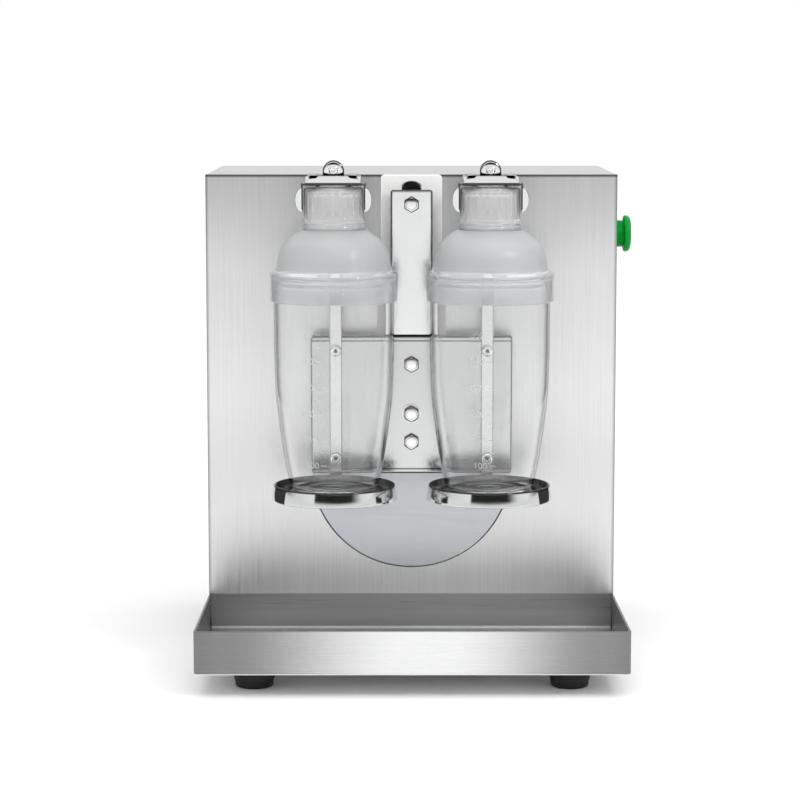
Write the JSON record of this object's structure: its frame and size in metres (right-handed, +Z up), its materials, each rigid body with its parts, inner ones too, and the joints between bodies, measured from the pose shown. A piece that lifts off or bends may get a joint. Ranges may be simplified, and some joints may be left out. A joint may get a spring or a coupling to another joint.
{
  "type": "drink shaking machine",
  "caption": "Bar shaking machine: a steel cabinet with a crank-driven carrier that shakes two clear shaker cups held under sprung clamps over a drip tray.",
  "frame": {"origin": "on the table, in the middle of the overall box; the cabinet's middle plane is 7.75 mm to the left of it, because the button stands out on the right", "axes": "+Z up, -Y towards the front with the cups and tray, +X towards the side with the button"},
  "size_m": [0.3656, 0.3976, 0.427],
  "materials": {
    "panel_steel": "brushed, upright grain",
    "tray_steel": "brushed, level grain",
    "rubber": "matt black",
    "zinc_screw": "bright zinc",
    "nylon": "white, satin",
    "roller_plastic": "black acetal",
    "frame_steel": "grey zinc plate",
    "motor_paint": "black satin paint",
    "steel_shaft": "ground steel",
    "pulley_metal": "turned",
    "belt_rubber": "black",
    "cast_housing": "cast",
    "capacitor_shell": "pale grey",
    "board": "green board",
    "bezel_chrome": "polished",
    "black_plastic": "moulded",
    "green_plastic": "green, smooth",
    "disc_steel": "fine satin, bluish grey",
    "bright_bolt": "polished",
    "arm_steel": "satin",
    "block_aluminium": "milled",
    "bush_bronze": "bronze",
    "strap_steel": "satin",
    "dish_chrome": "mirror polished",
    "clear_cup": "clear polycarbonate",
    "frosted_lid": "frosted polycarbonate",
    "clear_cap": "clear, ribbed",
    "clamp_chrome": "mirror polished",
    "rod_steel": "polished",
    "spring_steel": "spring wire"
  },
  "bodies": {
    "cabinet": {"base_pan": "tray_steel", "body_shell": "panel_steel", "front_panel": "panel_steel", "rear_panel": "panel_steel", "rear_screws": "zinc_screw", "rubber_feet": "rubber", "foot_screws": "zinc_screw", "guide_plate": "nylon", "guide_screws": "zinc_screw", "inner_frame": "frame_steel", "frame_bolts": "zinc_screw", "motor_body": "motor_paint", "motor_bolts": "zinc_screw", "drive_belt": "belt_rubber", "bearing_housing": "cast_housing", "housing_bolts": "zinc_screw", "crank_bearings": "steel_shaft", "start_capacitor": "capacitor_shell", "control_board": "board", "button_bezel": "bezel_chrome", "button_switch": "black_plastic", "power_inlet": "black_plastic", "inlet_screws": "zinc_screw"},
    "crank": {"crank_disc": "disc_steel", "crank_shaft": "steel_shaft", "drive_pulley": "pulley_metal", "crank_pin": "bright_bolt", "pin_washer": "bright_bolt"},
    "motor_rotor": {"motor_shaft": "steel_shaft", "motor_pulley": "pulley_metal"},
    "shaking_arm": {"arm_channel": "arm_steel", "cross_box": "arm_steel", "bearing_block": "block_aluminium", "arm_bush": "bush_bronze", "arm_bolts": "bright_bolt", "roller_bolt": "bright_bolt", "strap_left": "strap_steel", "strap_right": "strap_steel", "strap_bolts": "bright_bolt", "dish_left": "dish_chrome", "dish_right": "dish_chrome", "dish_screws": "zinc_screw"},
    "roller": {"guide_roller": "roller_plastic"},
    "clamp_left": {"clamp_rod_left": "rod_steel", "clamp_lever_left": "clamp_chrome", "clamp_head_left": "clamp_chrome", "clamp_screw_left": "clamp_chrome", "clamp_spring_left": "spring_steel"},
    "clamp_right": {"clamp_rod_right": "rod_steel", "clamp_lever_right": "clamp_chrome", "clamp_head_right": "clamp_chrome", "clamp_screw_right": "clamp_chrome", "clamp_spring_right": "spring_steel"},
    "cup_left": {"shaker_cup_left": "clear_cup", "shaker_dome_left": "frosted_lid", "shaker_cap_left": "clear_cap"},
    "cup_right": {"shaker_cup_right": "clear_cup", "shaker_dome_right": "frosted_lid", "shaker_cap_right": "clear_cap"},
    "button": {"button_cap": "green_plastic"}
  },
  "joints": [
    {"name": "crank_spin", "type": "hinge", "parent": "cabinet", "child": "crank", "pos_m": [-0.00775, -0.0218, 0.16], "axis": [0, 1, 0], "continuous": true},
    {"name": "motor_spin", "type": "hinge", "parent": "cabinet", "child": "motor_rotor", "pos_m": [-0.00775, 0.0182, 0.318], "axis": [0, 1, 0], "continuous": true},
    {"name": "crank_pin_turn", "type": "hinge", "parent": "crank", "child": "shaking_arm", "pos_m": [-0.00775, -0.0398, 0.211], "axis": [0, 1, 0], "continuous": true},
    {"name": "roller_turn", "type": "hinge", "parent": "shaking_arm", "child": "roller", "pos_m": [-0.00775, -0.0334, 0.388], "axis": [0, 1, 0], "continuous": true},
    {"name": "button_press", "type": "slide", "parent": "cabinet", "child": "button", "axis": [-1, 0, 0], "range_m": [0, 0.004], "stiffness_N_per_m": 500, "springref_m": -0.002},
    {"name": "clamp_lift_left", "type": "slide", "parent": "shaking_arm", "child": "clamp_left", "axis": [0, 0, 1], "range_m": [0, 0.022], "stiffness_N_per_m": 900, "springref_m": -0.02, "deforming": ["clamp_spring_left"]},
    {"name": "cup_lift_left", "type": "slide", "parent": "shaking_arm", "child": "cup_left", "axis": [0, 0, 1], "range_m": [0, 0.0132]},
    {"name": "clamp_lift_right", "type": "slide", "parent": "shaking_arm", "child": "clamp_right", "axis": [0, 0, 1], "range_m": [0, 0.022], "stiffness_N_per_m": 900, "springref_m": -0.02, "deforming": ["clamp_spring_right"]},
    {"name": "cup_lift_right", "type": "slide", "parent": "shaking_arm", "child": "cup_right", "axis": [0, 0, 1], "range_m": [0, 0.0132]}
  ],
  "couplings": [
    {"joint": "motor_spin", "follows": "crank_spin", "ratio": 3.5},
    {"joint": "crank_pin_turn", "follows": "crank_spin", "ratio": -1},
    {"joint": "cup_lift_left", "follows": "clamp_lift_left", "ratio": 0.6},
    {"joint": "cup_lift_right", "follows": "clamp_lift_right", "ratio": 0.6}
  ]
}
